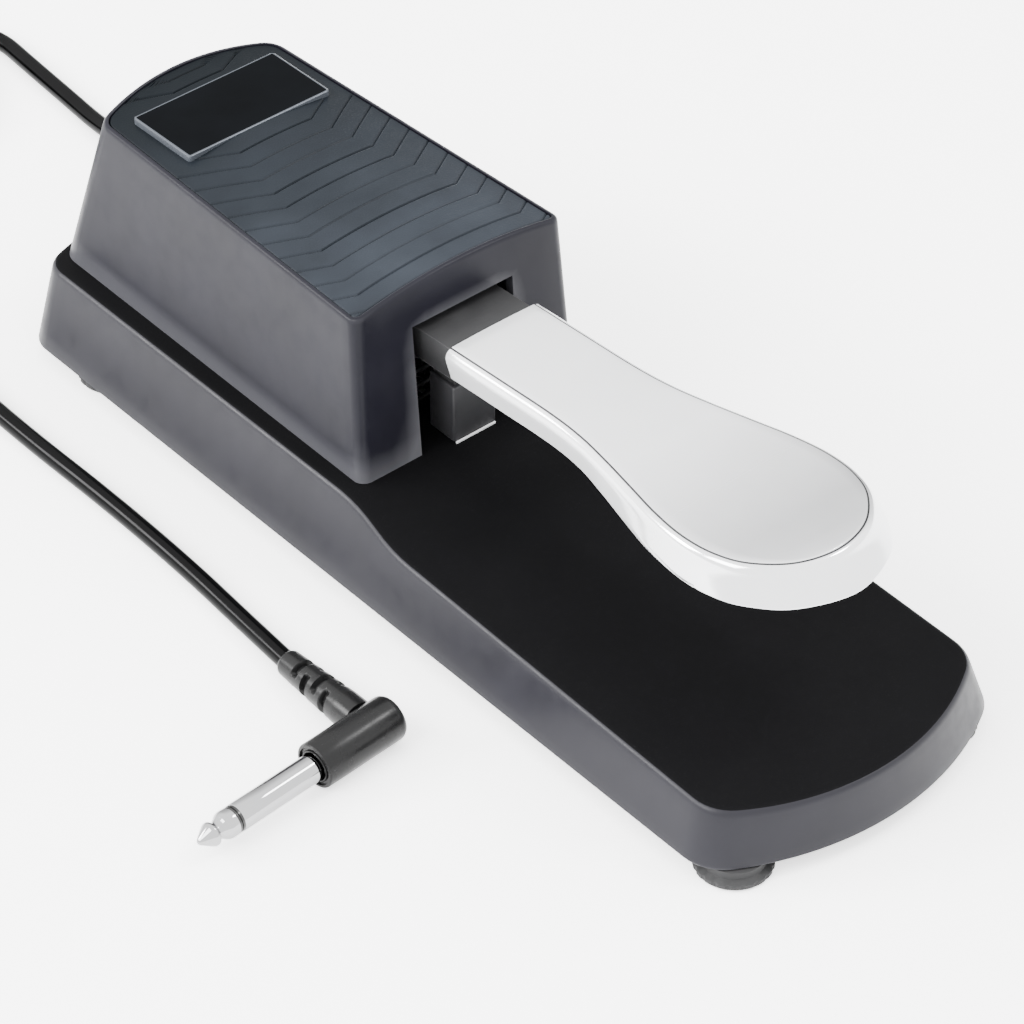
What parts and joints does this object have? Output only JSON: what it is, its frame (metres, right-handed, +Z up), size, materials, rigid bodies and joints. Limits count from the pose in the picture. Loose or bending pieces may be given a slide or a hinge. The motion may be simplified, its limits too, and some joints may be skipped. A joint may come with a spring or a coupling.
{
  "type": "sustain pedal",
  "caption": "Piano-style sustain pedal: a sprung lever with a chrome spoon in a stepped grey housing on rubber feet, with a coiled cord and a right-angle jack plug.",
  "frame": {"origin": "on the floor at the middle of the housing's footprint, cord left out", "axes": "+X to the right, the pedal's toe towards -Y, the cord's outlet towards +Y, +Z up"},
  "size_m": [0.1545, 0.387, 0.068],
  "materials": {
    "base_grey": "satin moulded grey, matt black deck",
    "tower_grey": "satin moulded grey",
    "insert_black": "fine-grained black",
    "name_gloss": "gloss black, blank",
    "plate_steel": "black powder coat",
    "screw_steel": "zinc plated",
    "foot_rubber": "matt",
    "bracket_zinc": "zinc plated",
    "pin_steel": "ground",
    "bush_nylon": "natural nylon",
    "arm_black": "satin black",
    "cap_chrome": "polished",
    "spring_steel": "bright",
    "switch_black": "satin",
    "switch_red": "satin",
    "terminal_brass": "tinned",
    "slider_white": "satin",
    "cord_black": "semi-gloss",
    "clamp_black": "satin",
    "wire_red": "semi-gloss",
    "plug_grey": "satin",
    "plug_chrome": "polished",
    "plug_ring": "gloss"
  },
  "bodies": {
    "housing": {"base_shell": "base_grey", "tower_housing": "tower_grey", "top_insert": "insert_black", "nameplate": "name_gloss", "bottom_plate": "plate_steel", "bottom_plate_screws": "screw_steel", "housing_screws": "screw_steel", "front_feet": "foot_rubber", "rear_feet": "foot_rubber", "foot_screws": "screw_steel", "stop_block": "tower_grey", "down_stop_pad": "foot_rubber", "up_stop_pad": "foot_rubber", "pivot_bracket": "bracket_zinc", "bracket_screws": "screw_steel", "pivot_pin": "pin_steel", "pivot_clips": "pin_steel", "return_spring": "spring_steel", "spring_seat": "bush_nylon", "switch_bracket": "bracket_zinc", "switch_body": "switch_black", "switch_terminals": "terminal_brass", "switch_screws": "screw_steel", "polarity_switch": "switch_black", "polarity_screws": "screw_steel", "cable_gland": "cord_black", "cord_clamp": "clamp_black", "cord_clamp_screws": "screw_steel", "inner_cord": "cord_black", "switch_wires": "wire_red", "cord_out": "cord_black", "cord_coil": "cord_black", "cord_in": "cord_black", "plug_boot": "plug_grey", "plug_handle": "plug_grey", "plug_sleeve": "plug_chrome", "plug_insulator": "plug_ring", "plug_tip": "plug_chrome"},
    "pedal": {"pedal_arm": "arm_black", "pedal_cap": "cap_chrome", "cap_screws": "screw_steel", "pivot_bushes": "bush_nylon"},
    "switch_arm": {"switch_lever": "spring_steel"},
    "switch_button": {"switch_plunger": "switch_red"},
    "polarity_knob": {"polarity_slider": "slider_white"}
  },
  "joints": [
    {"name": "pedal_hinge", "type": "hinge", "parent": "housing", "child": "pedal", "pos_m": [0, 0.08, 0.0427], "axis": [1, 0, 0], "range_deg": [0, 5], "stiffness_Nm_per_rad": 23, "springref_deg": -2.49, "deforming": ["return_spring"]},
    {"name": "switch_lever_hinge", "type": "hinge", "parent": "housing", "child": "switch_arm", "pos_m": [0, 0.0626, 0.03985], "axis": [1, 0, 0], "range_deg": [0, 10]},
    {"name": "switch_plunger_slide", "type": "slide", "parent": "housing", "child": "switch_button", "axis": [0, 0, -1], "range_m": [0, 0.0008]},
    {"name": "polarity_slide", "type": "slide", "parent": "housing", "child": "polarity_knob", "axis": [1, 0, 0], "range_m": [0, 0.005]}
  ],
  "couplings": [
    {"joint": "switch_lever_hinge", "follows": "pedal_hinge", "ratio": 1.85},
    {"joint": "switch_plunger_slide", "follows": "pedal_hinge", "m_per_rad": 0.008}
  ]
}
